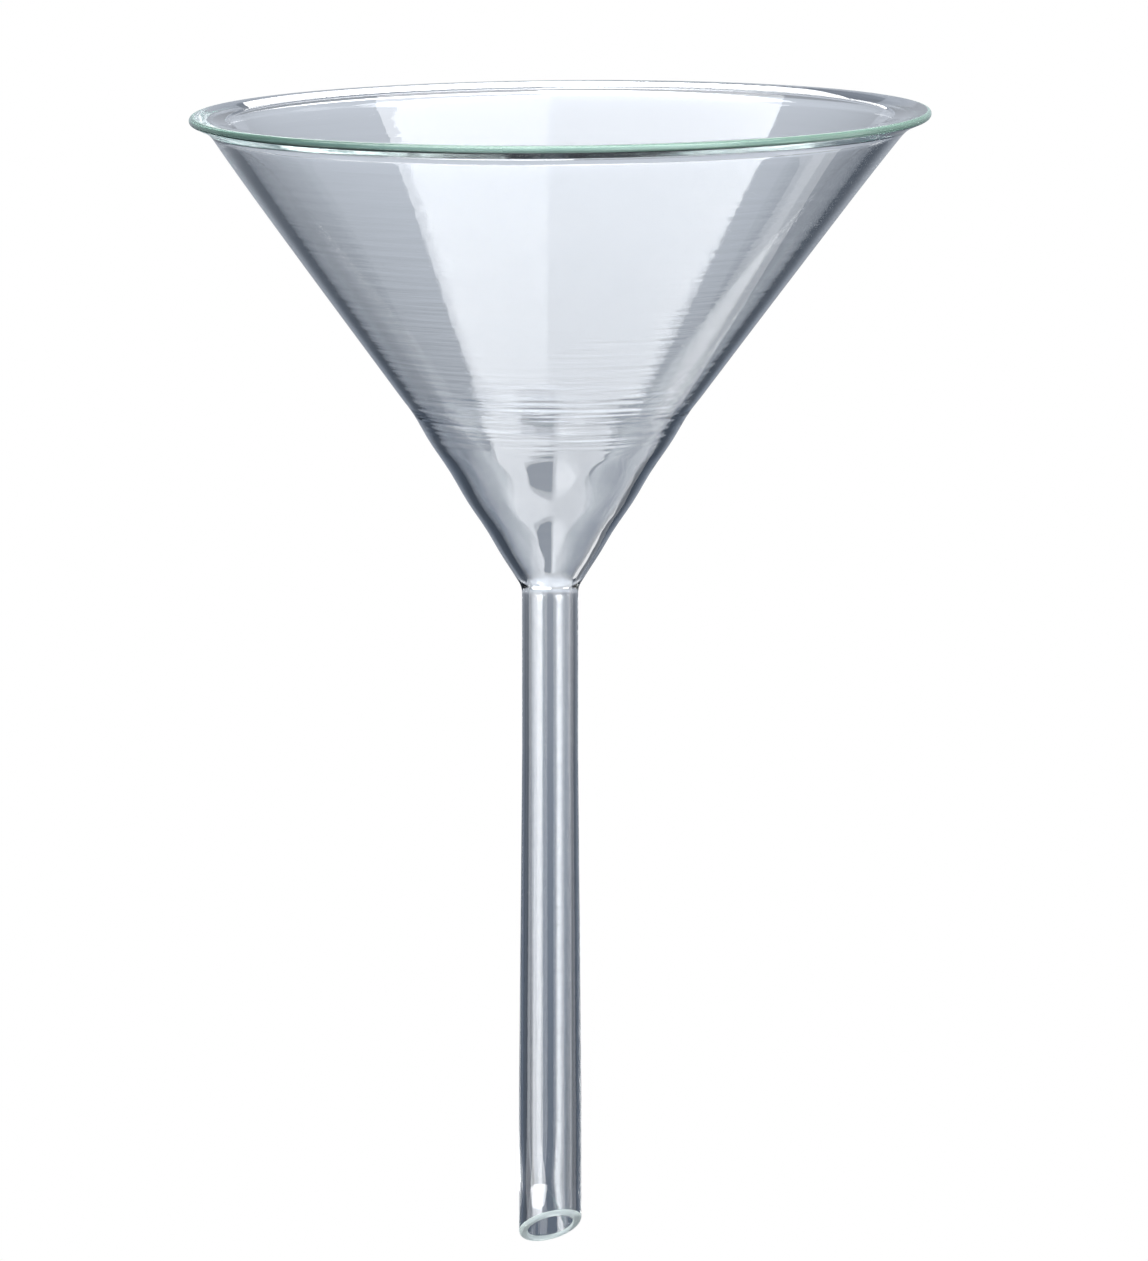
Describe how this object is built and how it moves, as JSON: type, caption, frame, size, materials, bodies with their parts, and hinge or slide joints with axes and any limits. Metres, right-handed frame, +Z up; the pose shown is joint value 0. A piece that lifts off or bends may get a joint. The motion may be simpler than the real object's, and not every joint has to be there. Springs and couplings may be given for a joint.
{
  "type": "conical glass funnel",
  "caption": "Clear glass laboratory funnel with a conical bowl, a flared lip and a long narrow stem cut at a slant, for pouring and filtering.",
  "frame": {"origin": "on the funnel's axis, in the middle of the straight stretch at the stem's lower end, where a stopper or a hose holds it", "axes": "+Z up along the axis from the stem's tip to the open bowl; the slanting cut of the tip faces -Y"},
  "size_m": [0.1, 0.1, 0.1561],
  "materials": {
    "clear_glass": "clear, fire-polished, faintly green at the rim and the cut tip"
  },
  "bodies": {
    "root": {"funnel": "clear_glass"}
  },
  "joints": []
}
